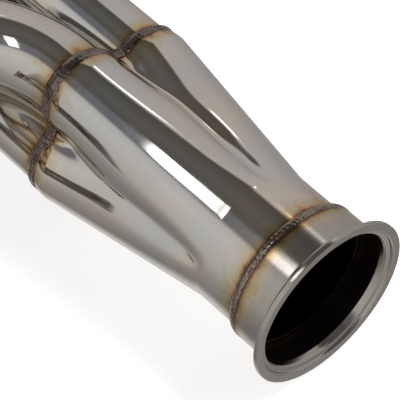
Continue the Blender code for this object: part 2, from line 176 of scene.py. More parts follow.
def stretch(runs, first, last):
    """Points of the path between two distances along it."""
    points = []
    begin = 0.0
    for run in runs:
        low = max(first - begin, 0.0)
        high = min(last - begin, run["length"])
        if high - low > SHORTEST_PIECE:
            steps = max(1, math.ceil((high - low) / STRAIGHT_STEP))
            if "centre" in run:
                turned = run["angle"] * (high - low) / run["length"]
                steps = max(1, math.ceil(turned / BEND_STEP))
            own = [point_on(run, low + (high - low) * step / steps) for step in range(steps + 1)]
            points += own if not points else own[1:]
        begin += run["length"]
    return points


def primary_corners(index):
    """Corners of a primary's centre line, from its port into its lobe of the collector."""
    port_x = PORTS_X[index]
    in_collector = on_axis(COLLECTOR_MOUTH - TUBE_INSERTION,
                           around_axis(index * math.pi / 2) * BUNDLE_RADIUS)
    turn = Vector((port_x, in_collector.y, in_collector.z))
    port = Vector((port_x, FLANGE_BACK + FIT_GAP, 0))
    if index > 0:
        return [port, Vector((port_x, port.y + LEVEL_STUB, 0)), turn, in_collector]
    crest_tangent = BEND_RADIUS * math.tan((CLIMB_ANGLE + DROP_ANGLE) / 2)
    to_crest = BEND_RADIUS + crest_tangent + 2 * ELBOW_TANGENT
    crest = turn + (TO_FLANGE * math.cos(CLIMB_ANGLE) + UP * math.sin(CLIMB_ANGLE)) * to_crest
    foot = Vector((port_x, crest.y - crest.z / math.tan(DROP_ANGLE), 0))
    return [port, foot, crest, turn, in_collector]


def run_ends(runs):
    ends = [0.0]
    for run in runs:
        ends.append(ends[-1] + run["length"])
    return ends


def pieces_of(index, runs):
    """Names of a primary's pieces, and the distances of the butt joints between them."""
    ends = run_ends(runs)
    if index == 0:
        joints = [(ends[2] + ends[3]) / 2, (ends[4] + ends[5]) / 2]
        return ("port_bend", "crest_bend", "collector_bend"), joints
    into_elbow = ends[3] - ELBOW_TANGENT
    if index < PORT_COUNT - 1:
        return ("port_run", "collector_bend"), [into_elbow]
    return ("port_run", "elbow", "collector_run"), [into_elbow, ends[4] + ELBOW_TANGENT]


# ------------------------------------------------------------------ materials

def linear(code):
    """The linear colour of an sRGB hex code."""
    channels = [int(code[place:place + 2], 16) / 255 for place in (1, 3, 5)]
    return [c / 12.92 if c <= 0.04045 else ((c + 0.055) / 1.055) ** 2.4 for c in channels] + [1.0]


def add_node(tree, kind, inputs=None, **settings):
    """Adds a node, sets it and links it. An input is a value or another node's output."""
    made = tree.nodes.new(kind)
    for key, value in settings.items():
        setattr(made, key, value)
    for key, value in (inputs or {}).items():
        if isinstance(value, bpy.types.NodeSocket):
            tree.links.new(value, made.inputs[key])
        else:
            made.inputs[key].default_value = value
    return made


def set_ramp(ramp, stops, smooth="LINEAR"):
    """Fills a colour ramp with (position, hex colour) stops."""
    elements = ramp.color_ramp.elements
    ramp.color_ramp.interpolation = smooth
    while len(elements) > 1:
        elements.remove(elements[-1])
    elements[0].position, elements[0].color = stops[0][0], linear(stops[0][1])
    for position, code in stops[1:]:
        elements.new(position).color = linear(code)


def new_material(name, roughness, metallic=1.0):
    material = bpy.data.materials.new(name)
    material.use_nodes = True
    tree = material.node_tree
    shader = tree.nodes["Principled BSDF"]
    shader.inputs["Roughness"].default_value = roughness
    shader.inputs["Metallic"].default_value = metallic
    return material, tree, shader


# Noise scales are patches per metre.
TINT_PATCHES = 130.0            # the tint's ragged edge, about 8 mm
TINT_REACH = 16.0 * MM
WARM_CLOUDS = 26.0              # slight colour changes of the polish, about 40 mm
HAZE_PATCHES = 60.0             # where the mop pressed harder, about 17 mm
INSIDE_SHADE_PATCHES = 35.0             # patches in the painted shade of the inner wall, about 30 mm
OXIDE_GRAIN = 1400.0            # really finer than 0.1 mm; drawn 0.7 mm so that it shows
FEED_MARKS = 1800.0             # really 0.1 mm apart; drawn 0.55 mm apart so that they show
PLATE_CLOUDS = 18.0             # dull patches on the milled plate, about 55 mm
FLY_CUT = (6.0, 900.0, 900.0)   # marks 1 mm apart and 170 mm long, really 0.3 mm apart

TUBE_TINT = [(0.0, "#4c3b40"), (0.04, "#644a41"), (0.09, "#986c4d"), (0.15, "#b89775"),
             (0.3, "#c8b896"), (0.55, "#cdc5b3"), (1.0, "#d2cfca")]
FLANGE_TINT = [(0.0, "#5b4640"), (0.08, "#95704f"), (0.2, "#bba47e"), (0.5, "#bfb5a2"),
               (1.0, "#b3aea7")]


def heat_tint(tree, place, stops):
    """Oxide colours by distance from the weld: purple, brown, straw, then bare steel."""
    distance = add_node(tree, "ShaderNodeAttribute", attribute_name="weld_distance")
    blotch = add_node(tree, "ShaderNodeTexNoise", {"Vector": place, "Scale": TINT_PATCHES,
                      "Detail": 4.0, "Roughness": 0.6})
    wander = add_node(tree, "ShaderNodeMapRange", {"Value": blotch.outputs["Fac"], "From Min": 0.3,
                      "From Max": 0.7, "To Min": 0.6, "To Max": 2.4})
    scaled = add_node(tree, "ShaderNodeMath", {0: distance.outputs["Fac"],
                      1: wander.outputs["Result"]}, operation="MULTIPLY")
    share = add_node(tree, "ShaderNodeMath", {0: scaled.outputs[0], 1: TINT_REACH},
                     operation="DIVIDE", use_clamp=True)
    tint = add_node(tree, "ShaderNodeValToRGB", {"Fac": share.outputs[0]})
    set_ramp(tint, stops)
    return tint.outputs["Color"]


def multiplied(tree, colour, shade):
    return add_node(tree, "ShaderNodeMix", {0: 1.0, 6: colour, 7: shade}, data_type="RGBA",
                    blend_type="MULTIPLY").outputs[2]


def polished_stainless(name, roughness=0.075):
    """304 tube, buffed bright: a light grey mirror, a little soft, with heat tint by the welds."""
    material, tree, shader = new_material(name, roughness)
    place = add_node(tree, "ShaderNodeTexCoord").outputs["Object"]
    tint = heat_tint(tree, place, TUBE_TINT)
    cloud = add_node(tree, "ShaderNodeTexNoise", {"Vector": place, "Scale": WARM_CLOUDS,
                     "Detail": 2.0})
    warmth = add_node(tree, "ShaderNodeValToRGB", {"Fac": cloud.outputs["Fac"]})
    set_ramp(warmth, [(0.35, "#f1f3f6"), (0.65, "#fff7ef")])
    tree.links.new(multiplied(tree, tint, warmth.outputs["Color"]), shader.inputs["Base Color"])
    haze = add_node(tree, "ShaderNodeTexNoise", {"Vector": place, "Scale": HAZE_PATCHES,
                    "Detail": 4.0})
    rough = add_node(tree, "ShaderNodeMapRange", {"Value": haze.outputs["Fac"], "From Min": 0.35,
                     "From Max": 0.65, "To Min": roughness * 0.8, "To Max": roughness * 1.3})
    tree.links.new(rough.outputs["Result"], shader.inputs["Roughness"])
    return material


def inside_of_tube(name):
    """Inner wall as drawn, never polished: dull, and painted near black as the shade inside the
    tubes.
    """
    material, tree, shader = new_material(name, 0.5)
    place = add_node(tree, "ShaderNodeTexCoord").outputs["Object"]
    inside_shade_noise = add_node(tree, "ShaderNodeTexNoise", {"Vector": place, "Scale": INSIDE_SHADE_PATCHES,
                    "Detail": 5.0})
    # near-black colour, varied in patches: painted shade inside the tubes
    ramp = add_node(tree, "ShaderNodeValToRGB", {"Fac": inside_shade_noise.outputs["Fac"]})
    set_ramp(ramp, [(0.3, "#1c1917"), (0.7, "#3a322e")])
    tree.links.new(ramp.outputs["Color"], shader.inputs["Base Color"])
    return material


def tig_weld(name, stops, roughness=0.22, streak_rate=130.0):
    """A TIG bead: glassy oxide over frozen ripples, in bands that run along the bead.

    The eye sees dark brown and purple streaks with thin bright glints on each ripple. The
    streak rate is how often the colour changes along the bead, in steps per metre.
    """
    material, tree, shader = new_material(name, roughness)
    place = add_node(tree, "ShaderNodeTexCoord").outputs["Object"]
    across = add_node(tree, "ShaderNodeAttribute", attribute_name="bead_across").outputs["Fac"]
    along = add_node(tree, "ShaderNodeAttribute", attribute_name="bead_along").outputs["Fac"]
    run = add_node(tree, "ShaderNodeMath", {0: along, 1: streak_rate}, operation="MULTIPLY")
    bands = add_node(tree, "ShaderNodeCombineXYZ", {0: across, 1: run.outputs[0]})
    streaks = add_node(tree, "ShaderNodeTexNoise", {"Vector": bands.outputs[0], "Scale": 2.2,
                       "Detail": 3.0, "Roughness": 0.6})
    ramp = add_node(tree, "ShaderNodeValToRGB", {"Fac": streaks.outputs["Fac"]})
    set_ramp(ramp, stops)
    tree.links.new(ramp.outputs["Color"], shader.inputs["Base Color"])
    grain = add_node(tree, "ShaderNodeTexNoise", {"Vector": place, "Scale": OXIDE_GRAIN,
                     "Detail": 2.0})
    bump = add_node(tree, "ShaderNodeBump", {"Height": grain.outputs["Fac"], "Strength": 0.25,
                    "Distance": 0.1 * MM})
    tree.links.new(bump.outputs["Normal"], shader.inputs["Normal"])
    return material


def turned_stainless(name):
    """Flange as it leaves the lathe: satin, with fine rings around the outlet axis."""
    material, tree, shader = new_material(name, 0.17)
    place = add_node(tree, "ShaderNodeTexCoord").outputs["Object"]
    centred = add_node(tree, "ShaderNodeVectorMath", {0: place, 1: (OUTLET_X, AXIS_Y, AXIS_Z)},
                       operation="SUBTRACT")
    split = add_node(tree, "ShaderNodeSeparateXYZ", {0: centred.outputs[0]})
    flat = add_node(tree, "ShaderNodeCombineXYZ", {1: split.outputs[1], 2: split.outputs[2]})
    radius = add_node(tree, "ShaderNodeVectorMath", {0: flat.outputs[0]}, operation="LENGTH")
    tool_path = add_node(tree, "ShaderNodeMath", {0: radius.outputs["Value"],
                         1: split.outputs[0]}, operation="ADD")
    rings = add_node(tree, "ShaderNodeTexNoise", {"W": tool_path.outputs[0],
                     "Scale": FEED_MARKS, "Detail": 2.0}, noise_dimensions="1D")
    bump = add_node(tree, "ShaderNodeBump", {"Height": rings.outputs["Fac"], "Strength": 0.07,
                    "Distance": 0.05 * MM})
    tree.links.new(bump.outputs["Normal"], shader.inputs["Normal"])
    lines = add_node(tree, "ShaderNodeValToRGB", {"Fac": rings.outputs["Fac"]})
    set_ramp(lines, [(0.3, "#ececec"), (0.7, "#ffffff")])
    tint = heat_tint(tree, place, FLANGE_TINT)
    tree.links.new(multiplied(tree, tint, lines.outputs["Color"]), shader.inputs["Base Color"])
    return material


def milled_plate(name):
    """Head flange, cut from plate and fly-cut flat: satin with fine straight marks along X."""
    material, tree, shader = new_material(name, 0.36)
    place = add_node(tree, "ShaderNodeTexCoord").outputs["Object"]
    stretched = add_node(tree, "ShaderNodeMapping", {"Vector": place, "Scale": FLY_CUT})
    marks = add_node(tree, "ShaderNodeTexNoise", {"Vector": stretched.outputs[0], "Scale": 1.0,
                     "Detail": 3.0})
    bump = add_node(tree, "ShaderNodeBump", {"Height": marks.outputs["Fac"], "Strength": 0.3,
                    "Distance": 0.05 * MM})
    tree.links.new(bump.outputs["Normal"], shader.inputs["Normal"])
    tone = add_node(tree, "ShaderNodeTexNoise", {"Vector": place, "Scale": PLATE_CLOUDS,
                    "Detail": 4.0})
    ramp = add_node(tree, "ShaderNodeValToRGB", {"Fac": tone.outputs["Fac"]})
    set_ramp(ramp, [(0.3, "#a9a6a2"), (0.7, "#bcb9b4")])
    tree.links.new(ramp.outputs["Color"], shader.inputs["Base Color"])
    return material


# ------------------------------------------------------------------ modelling helpers

def deselect_all():
    if bpy.context.object and bpy.context.object.mode != "OBJECT":
        bpy.ops.object.mode_set(mode="OBJECT")
    bpy.ops.object.select_all(action="DESELECT")


def make_active(thing):
    deselect_all()
    thing.select_set(True)
    bpy.context.view_layer.objects.active = thing


def settle(thing):
    """Moves the object's place, turn and size into its mesh."""
    make_active(thing)
    bpy.ops.object.transform_apply(location=True, rotation=True, scale=True)


def apply_modifiers(thing):
    make_active(thing)
    for modifier in list(thing.modifiers):
        bpy.ops.object.modifier_apply(modifier=modifier.name)


def finish_piece(piece, nodes, materials):
    """Gives a piece its materials, hides the parts it replaces and sets what it rides on."""
    piece.data.materials.clear()
    for material in materials:
        piece.data.materials.append(material)
    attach(piece, "root")
    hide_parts(*nodes)


MERGE_DISTANCE = 1e-6
WELD_RINGS = []     # (centre, direction, radius, half width) of every weld around a tube
NEAR_WELD = 40 * MM             # points further than this from a weld's ring ignore it
FAR_FROM_WELD = 1.0


def mark_weld_distance(piece):
    """Writes each point's distance along the tube from the nearest weld."""
    count = len(piece.data.vertices)
    places = np.empty(count * 3)
    piece.data.vertices.foreach_get("co", places)
    places = places.reshape(-1, 3)
    nearest = np.full(count, FAR_FROM_WELD)
    for centre, direction, radius, half_width in WELD_RINGS:
        apart = places - np.array(centre)
        along = np.maximum(np.abs(apart @ np.array(direction)) - half_width, 0.0)
        close = np.linalg.norm(apart, axis=1) < radius + NEAR_WELD
        nearest = np.where(close, np.minimum(nearest, along), nearest)
    mark = piece.data.attributes.new("weld_distance", "FLOAT", "POINT")
    mark.data.foreach_set("value", nearest)


def merge_and_face_outward(piece, apart=MERGE_DISTANCE):
    make_active(piece)
    bpy.ops.object.mode_set(mode="EDIT")
    bpy.ops.mesh.select_all(action="SELECT")
    bpy.ops.mesh.remove_doubles(threshold=apart)
    bpy.ops.mesh.normals_make_consistent(inside=False)
    bpy.ops.object.mode_set(mode="OBJECT")


def thicken_inwards(piece, wall, inside_points):
    """Gives a tube its wall inwards, with the inside and the cut ends as the second material."""
    solidify = piece.modifiers.new("wall", "SOLIDIFY")
    solidify.thickness = wall
    solidify.offset = -1.0 if points_outward(piece.data, inside_points) else 1.0
    solidify.material_offset = 1
    solidify.material_offset_rim = 1
    apply_modifiers(piece)


def points_outward(mesh, inside_points):
    face = mesh.polygons[0]
    nearest = min(inside_points, key=lambda point: (point - face.center).length)
    return face.normal.dot(face.center - nearest) > 0


def smooth_by_angle(piece, degrees):
    make_active(piece)
    bpy.ops.object.shade_smooth_by_angle(angle=math.radians(degrees))


# ------------------------------------------------------------------ tubes

TUBE_SIDES = 64


def swept_tube(name, points):
    """A bent tube along the points, with its wall inwards and its inside as a second surface."""
    curve = bpy.data.curves.new(name, "CURVE")
    curve.dimensions = "3D"
    curve.bevel_depth = TUBE_RADIUS
    curve.bevel_resolution = (TUBE_SIDES - 4) // 2
    spline = curve.splines.new("POLY")
    spline.points.add(len(points) - 1)
    for place, point in zip(spline.points, points):
        place.co = (*point, 1.0)
    tube = bpy.data.objects.new(name, curve)
    bpy.context.scene.collection.objects.link(tube)
    make_active(tube)
    bpy.ops.object.convert(target="MESH")
    tube = bpy.context.object
    merge_and_face_outward(tube)
    thicken_inwards(tube, TUBE_WALL, points)
    return tube


BUTT_BEAD_WIDTH = 4.4 * MM
BUTT_BEAD_HEIGHT = 0.9 * MM
BUTT_LOOK = 1.0 * MM            # the joint's direction is read this far to either side of it


def make_primaries(outer, inner, weld):
    """The tubes of all primaries, and a bead around each butt joint."""
    tubes = []
    for index in range(PORT_COUNT):
        number = str(index + 1)
        runs = path_through(primary_corners(index), BEND_RADIUS)
        names, joints = pieces_of(index, runs)
        total = run_ends(runs)[-1]
        marks = [0.0] + joints + [total]
        for piece, first, last in zip(names, marks, marks[1:]):
            node = "primary_" + number + "_" + piece
            tube = swept_tube(node + "_tube", stretch(runs, first, last))
            finish_piece(tube, [node], [outer, inner])
            tubes.append(tube)
        for joint, side in zip(joints, ("port_side", "collector_side")):
            near = stretch(runs, joint - BUTT_LOOK, joint + BUTT_LOOK)
            before, after = near[0], near[-1]
            centre = (before + after) / 2
            direction = (after - before).normalized()
            WELD_RINGS.append((centre, direction, TUBE_RADIUS, BUTT_BEAD_WIDTH / 2))
            node = "primary_" + number + "_weld_" + side
            bead = ring_bead(node + "_bead", centre, direction, TUBE_RADIUS, BUTT_BEAD_WIDTH,
                             BUTT_BEAD_HEIGHT)
            finish_piece(bead, [node], [weld])
    return tubes


# ------------------------------------------------------------------ welds

RIPPLE_PITCH = 1.5 * MM
FILLER_PITCH = 2.6 * MM         # longer ripples, where more filler went in
RIPPLE_RELIEF = 0.34            # how much lower a ripple ends than it starts, as a share
CHEVRON = 0.6                   # how far a ripple's ends trail its middle, in ripples
RIDGE_RELIEF = 0.16             # depth of the groove between two passes of the torch
ROOT_DEPTH = 0.5                # how far a bead reaches under the surface, in heights
BEAD_SIDES = 24
BEAD_STEP = 0.3 * MM
PLAIN_RING = 1.0
PLAIN_SECTION = 0.1


def spun_ring(name, steps):
    """A plain round ring about Z, one section per step, to be shaped into a bead."""
    deselect_all()
    bpy.ops.mesh.primitive_circle_add(vertices=BEAD_SIDES, radius=PLAIN_SECTION,
                                      location=(PLAIN_RING, 0, 0), rotation=(math.pi / 2, 0, 0))
    ring = bpy.context.object
    ring.name = name
    ring.data.name = name
    settle(ring)
    spin = ring.modifiers.new("spin", "SCREW")
    spin.steps = steps
    spin.render_steps = steps
    spin.use_merge_vertices = True
    spin.merge_threshold = 10 * MERGE_DISTANCE
    apply_modifiers(ring)
    return ring


def torch_wander(turn):
    """How far the torch strays to the side at an angle around the bead, about -1 to 1."""
    return math.sin(turn * 7 + 1) * 0.5 + math.sin(turn * 17) * 0.3 + math.sin(turn * 41) * 0.15


def bead_along(name, stations, widths, height, pitch=RIPPLE_PITCH, passes=1,
               relief=RIPPLE_RELIEF):
    """A rippled bead along a closed line of (place, along, outward) stations.

    Each pass of the torch leaves a low ridge along the bead, and the ridges wander a little.
    """
    count = len(stations)
    bead = spun_ring(name, count)
    travelled = [0.0]
    for index in range(count):
        to_next = stations[(index + 1) % count][0] - stations[index][0]
        travelled.append(travelled[-1] + to_next.length)
    ripples = max(1, round(travelled[-1] / pitch))
    across_mark = []
    along_mark = []
    for vertex in bead.data.vertices:
        turn = math.atan2(vertex.co.y, vertex.co.x)
        index = round(turn / (2 * math.pi) * count) % count
        section = math.atan2(vertex.co.z, math.hypot(vertex.co.x, vertex.co.y) - PLAIN_RING)
        place, along, outward = stations[index]
        across = along.cross(outward)
        reach, rise = math.cos(section), math.sin(section)
        wander = torch_wander(turn)
        ripple_place = travelled[index] / travelled[-1] * ripples
        phase = (ripple_place + CHEVRON * reach * reach + 0.35 * wander) % 1.0
        ripple = 1.0 - relief * (1 - math.sqrt(max(0.0, 1 - phase * phase)))
        groove = 1 - math.cos(math.pi * (reach + 0.25 * wander) * passes)
        ridge = 1.0 - RIDGE_RELIEF * (passes - 1) * groove
        edge = 1.0 + 0.07 * wander + 0.05 * math.sin(math.pi * phase)
        lift = height * ripple * ridge * rise if rise > 0 else ROOT_DEPTH * height * rise
        vertex.co = place + across * (widths[index] / 2 * reach * edge) + outward * lift
        across_mark.append(reach)
        along_mark.append(travelled[index])
    for mark, values in (("bead_across", across_mark), ("bead_along", along_mark)):
        bead.data.attributes.new(mark, "FLOAT", "POINT").data.foreach_set("value", values)
    make_active(bead)
    bpy.ops.object.mode_set(mode="EDIT")
    bpy.ops.mesh.select_all(action="SELECT")
    bpy.ops.mesh.normals_make_consistent(inside=False)
    bpy.ops.object.mode_set(mode="OBJECT")
    smooth_by_angle(bead, 60)
    return bead


def ring_bead(name, centre, direction, radius, width, height, lean=0.0, pitch=RIPPLE_PITCH,
              relief=RIPPLE_RELIEF):
    """A bead around a tube. lean tilts its crown along the direction, as in a fillet weld."""
    side = direction.orthogonal().normalized()
    count = int(2 * math.pi * radius / BEAD_STEP)
    stations = []
    for index in range(count):
        turn = Matrix.Rotation(2 * math.pi * index / count, 3, direction)
        out = turn @ side
        crown = (out + direction * lean).normalized()
        stations.append((centre + out * radius, direction.cross(out), crown))
    return bead_along(name, stations, [width] * count, height, pitch, relief=relief)


PORT_BEAD_BACK = 1.2 * MM       # middle of the fillet, from the flange's back
PORT_BEAD_STAND = 0.8 * MM
PORT_BEAD_WIDTH = 5.6 * MM
PORT_BEAD_HEIGHT = 1.6 * MM
PORT_BEAD_HALF = 2.4 * MM       # how far from its middle the tube is covered


def make_port_welds(weld):
    """The fillet beads that join the tubes to the head flange."""
    for index, port_x in enumerate(PORTS_X):
        centre = Vector((port_x, FLANGE_BACK + PORT_BEAD_BACK, 0))
        WELD_RINGS.append((centre, FROM_FLANGE, TUBE_RADIUS, PORT_BEAD_HALF))
        bead = ring_bead("port_" + str(index + 1) + "_fillet", centre, FROM_FLANGE,
                         TUBE_RADIUS + PORT_BEAD_STAND, PORT_BEAD_WIDTH, PORT_BEAD_HEIGHT, lean=1.0)
        finish_piece(bead, ["port_weld_" + str(index + 1)], [weld])


# ------------------------------------------------------------------ collector

def from_lobe(angle):
    quarter = math.pi / 2
    nearest = abs(angle % quarter)
    return min(nearest, quarter - nearest)


def circle_reach(centre, radius, angle):
    inside = radius ** 2 - (centre * math.sin(angle)) ** 2
    return centre * math.cos(angle) + math.sqrt(inside) if inside > 0 else 0.0


def eased(value, start, end):
    """0 before the start, 1 after the end, and a smooth rise between them."""
    share = min(max((value - start) / (end - start), 0.0), 1.0)
    return share * share * (3 - 2 * share)


SHOULDER = 7.0 * MM
EDGE_DROP = 1.3 * MM


def shell_radius(back, angle):
    """Outer radius of the collector at a station and an angle from the first lobe."""
    cone_start = COLLECTOR_MOUTH - SLEEVE_LENGTH
    cone = min(max((cone_start - back) / (cone_start - CONE_END), 0.0), 1.0)
    crown = BUNDLE_RADIUS + LOBE_RADIUS
    crown += (OUTLET_RADIUS - crown) * cone
    centre = BUNDLE_RADIUS * (1 - cone ** LOBE_HOLD)
    to_edge = min(max((back - COLLECTOR_MOUTH + SHOULDER) / SHOULDER, 0.0), 1.0)
    radius = crown - centre - EDGE_DROP * (1 - math.sqrt(1 - to_edge ** 2))
    from_valley = math.pi / 4 - from_lobe(angle)
    softened = math.pi / 4 - math.hypot(from_valley, FOLD_SOFTNESS)
    floor = VALLEY_RADIUS - VALLEY_SINK * eased(cone, 0.0, 0.1)
    above = circle_reach(centre, radius, max(softened, 0.0)) - floor
    lobes = floor + (above + math.hypot(above, VALLEY_SOFTNESS * (1 - cone))) / 2
    width = FLUTE_WIDTH + (FLUTE_TIP_WIDTH - FLUTE_WIDTH) * eased(cone, FLUTE_FULL, 1.0)
    depth = FLUTE_DEPTH * eased(cone, FLUTE_STARTS, FLUTE_FULL)
    depth *= 1 - (1 - min(max((back - FLUTE_END) / FLUTE_RUN_OUT, 0.0), 1.0)) ** 2
    return lobes - depth * math.exp(-(from_valley / width) ** 2)


SHELL_SIDES = 288
SHELL_ROWS = 110
ROW_LIFT = 1.0 * MM
ROW_CROWDING = 1.15             # above 1, rows lie closer together near the mouth


def make_collector(outer, inner):
    """The formed shell: a round tube drawn out into four lobes with flutes between them."""
    deselect_all()
    bpy.ops.mesh.primitive_circle_add(vertices=SHELL_SIDES, radius=OUTLET_RADIUS)
    shell = bpy.context.object
    shell.name = "collector_formed_shell"
    bpy.ops.object.mode_set(mode="EDIT")
    bpy.ops.mesh.select_all(action="SELECT")
    for _ in range(SHELL_ROWS):
        bpy.ops.mesh.extrude_edges_move(TRANSFORM_OT_translate={"value": (0, 0, ROW_LIFT)})
    bpy.ops.object.mode_set(mode="OBJECT")
    length = COLLECTOR_MOUTH - SHELL_OUTLET
    for vertex in shell.data.vertices:
        row = round(vertex.co.z / ROW_LIFT)
        angle = math.atan2(vertex.co.y, vertex.co.x)
        share = row / SHELL_ROWS
        back = SHELL_OUTLET + length * (1 - (1 - share) ** ROW_CROWDING)
        vertex.co = on_axis(back, around_axis(angle) * shell_radius(back, angle))
    make_active(shell)
    bpy.ops.object.mode_set(mode="EDIT")
    bpy.ops.mesh.select_all(action="SELECT")
    bpy.ops.mesh.normals_make_consistent(inside=False)
    bpy.ops.object.mode_set(mode="OBJECT")
    thicken_inwards(shell, SHELL_WALL, [on_axis(SHELL_OUTLET)])
    finish_piece(shell, ["collector_shell"], [outer, inner])
    return shell


MOUTH_BEAD_BACK = COLLECTOR_MOUTH + 1.4 * MM
MOUTH_BEAD_STEPS = 1100
MOUTH_BEAD_INSET = 0.5 * MM     # its middle, in from the shell's edge
MOUTH_BEAD_WIDTH = 6.4 * MM
MOUTH_BEAD_SWELL = 1.8 * MM     # wider on the first lobe, narrower opposite
MOUTH_BEAD_UNEVEN = 0.3 * MM
MOUTH_BEAD_HEIGHT = 1.7 * MM
MOUTH_BEAD_HALF = 2.6 * MM
MOUTH_BEAD_LEAN = 0.25
MOUTH_WELD_RADIUS = 50 * MM
LOOK_AROUND = 3                 # stations to either side that give the bead's direction


def make_mouth_weld(weld):
    """The bead that closes the shell's edge onto the four tubes and fills between them."""
    ring = []
    for index in range(MOUTH_BEAD_STEPS):
        angle = 2 * math.pi * index / MOUTH_BEAD_STEPS
        reach = shell_radius(COLLECTOR_MOUTH, angle) - MOUTH_BEAD_INSET
        ring.append((angle, on_axis(MOUTH_BEAD_BACK, around_axis(angle) * reach)))
    stations = []
    widths = []
    for index, (angle, place) in enumerate(ring):
        ahead = ring[(index + LOOK_AROUND) % MOUTH_BEAD_STEPS][1]
        along = (ahead - ring[index - LOOK_AROUND][1]).normalized()
        outward = along.cross(DOWNSTREAM).normalized()
        if outward.dot(place - on_axis(MOUTH_BEAD_BACK)) < 0:
            outward.negate()
        stations.append((place, along, (outward - DOWNSTREAM * MOUTH_BEAD_LEAN).normalized()))
        widths.append(MOUTH_BEAD_WIDTH + MOUTH_BEAD_SWELL * math.cos(angle - 0.3)
                      + MOUTH_BEAD_UNEVEN * math.sin(5 * angle))
    bead = bead_along("collector_mouth_bead", stations, widths, MOUTH_BEAD_HEIGHT,
                      pitch=FILLER_PITCH, passes=2, relief=0.14)
    finish_piece(bead, ["collector_mouth_weld"], [weld])
    WELD_RINGS.append((on_axis(MOUTH_BEAD_BACK), DOWNSTREAM, MOUTH_WELD_RADIUS, MOUTH_BEAD_HALF))


OUTLET_BEAD_BACK = VBAND_LENGTH + 1.9 * MM
OUTLET_BEAD_STAND = 0.9 * MM
OUTLET_BEAD_WIDTH = 5.2 * MM
OUTLET_BEAD_HEIGHT = 1.7 * MM
OUTLET_BEAD_HALF = 2.3 * MM


def make_outlet_weld(weld):
    """The bead between the collector's outlet and the V-band flange's neck."""
    middle = on_axis(OUTLET_BEAD_BACK)
    bead = ring_bead("outlet_bead", middle, DOWNSTREAM, OUTLET_RADIUS + OUTLET_BEAD_STAND,
                     OUTLET_BEAD_WIDTH, OUTLET_BEAD_HEIGHT, lean=-0.3, pitch=FILLER_PITCH,
                     relief=0.18)
    finish_piece(bead, ["outlet_weld"], [weld])
    WELD_RINGS.append((middle, DOWNSTREAM, OUTLET_RADIUS, OUTLET_BEAD_HALF))


# ------------------------------------------------------------------ outlet flange

EDGE_SUPPORT = 0.3 * MM
EDGE_BREAK = 0.35 * MM
EDGE_STEPS = 4
MOST_OF_SIDE = 0.45             # a corner takes no more than this share of its sides


def rounded(profile):
    """The closed profile with each corner cut by an arc, and a point beside it on long edges."""
    result = []
    count = len(profile)
    for index in range(count):
        before, here, after = (Vector(profile[(index + shift) % count]) for shift in (-1, 0, 1))
        into, out = before - here, after - here
        cut = min(EDGE_BREAK, into.length * MOST_OF_SIDE, out.length * MOST_OF_SIDE)
        start, end = here + into.normalized() * cut, here + out.normalized() * cut
        long_side = 4 * (cut + EDGE_SUPPORT)
        if into.length > long_side:
            result.append(start + into.normalized() * EDGE_SUPPORT)
        for step in range(EDGE_STEPS + 1):
            share = step / EDGE_STEPS
            result.append(start.lerp(here, share).lerp(here.lerp(end, share), share))
        if out.length > long_side:
            result.append(end + out.normalized() * EDGE_SUPPORT)
    return result


def turned_piece(name, profile, steps, place):
    """A ring turned about the collector axis from (radius, forward) points."""
    mesh = bpy.data.meshes.new(name)
    corners = [(forward, 0, radius) for radius, forward in profile]
    edges = [(index, (index + 1) % len(corners)) for index in range(len(corners))]
    mesh.from_pydata(corners, edges, [])
    piece = bpy.data.objects.new(name, mesh)
    bpy.context.scene.collection.objects.link(piece)
    make_active(piece)
    bpy.ops.object.mode_set(mode="EDIT")
    bpy.ops.mesh.select_all(action="SELECT")
    bpy.ops.mesh.spin(steps=steps, angle=2 * math.pi, center=(0, 0, 0), axis=(1, 0, 0))
    bpy.ops.object.mode_set(mode="OBJECT")
    merge_and_face_outward(piece)
    piece.location = place
    settle(piece)
    smooth_by_angle(piece, 30)
    return piece


TURNED_STEPS = 256
RIM_LIP = 2.4 * MM              # width of the rim's edge
RIM_FOOT = 4.9 * MM             # the clamp's taper ends here, and runs out into the neck
NECK_START = 6.2 * MM
FOOT_STAND = 0.9 * MM
STEP_CHAMFER = 0.5 * MM
STEP_INNER = 39.9 * MM          # sealing step, at its floor and at the outlet face
STEP_OUTER = 40.3 * MM
STEP_FLOOR = 1.6 * MM
LEAD_IN = [(1.5 * MM, 1.9 * MM), (1.0 * MM, 2.7 * MM),      # (outside the bore, depth)
           (0.8 * MM, 2.9 * MM), (0.0, 5.2 * MM)]
BRIGHT_BORE = 5.0 * MM          # the bore is bright this deep, and painted near black as shade beyond
BORE_REACH = 0.2 * MM


def make_vband(material, inner):
    """The turned flange: rim with a clamp taper, sealing step, lead-in, bore and neck."""
    lead_in = [(NECK_BORE + outside, -depth) for outside, depth in reversed(LEAD_IN)]
    profile = [(VBAND_RADIUS, 0.0), (VBAND_RADIUS, -RIM_LIP),
               (NECK_RADIUS + FOOT_STAND, -RIM_FOOT), (NECK_RADIUS, -NECK_START),
               (NECK_RADIUS, -VBAND_LENGTH), (NECK_BORE, -VBAND_LENGTH), *lead_in,
               (STEP_INNER, -STEP_FLOOR), (STEP_OUTER, -STEP_CHAMFER),
               (STEP_OUTER + STEP_CHAMFER, 0.0)]
    flange = turned_piece("vband_turned_flange", rounded(profile), TURNED_STEPS, on_axis(0.0))
    finish_piece(flange, ["vband_flange"], [material, inner])
    # bore faces deeper than BRIGHT_BORE take the near-black inner material: painted shade deep in
    # the bore
    for face in flange.data.polygons:
        from_axis = face.center - on_axis(0.0)
        inside = math.hypot(from_axis.y, from_axis.z) < NECK_BORE + BORE_REACH
        face.material_index = int(inside and from_axis.x < -BRIGHT_BORE)
    return flange


# ------------------------------------------------------------------ head flange

PLATE_MERGE = 10 * MERGE_DISTANCE
PLATE_EDGE = 0.5 * MM


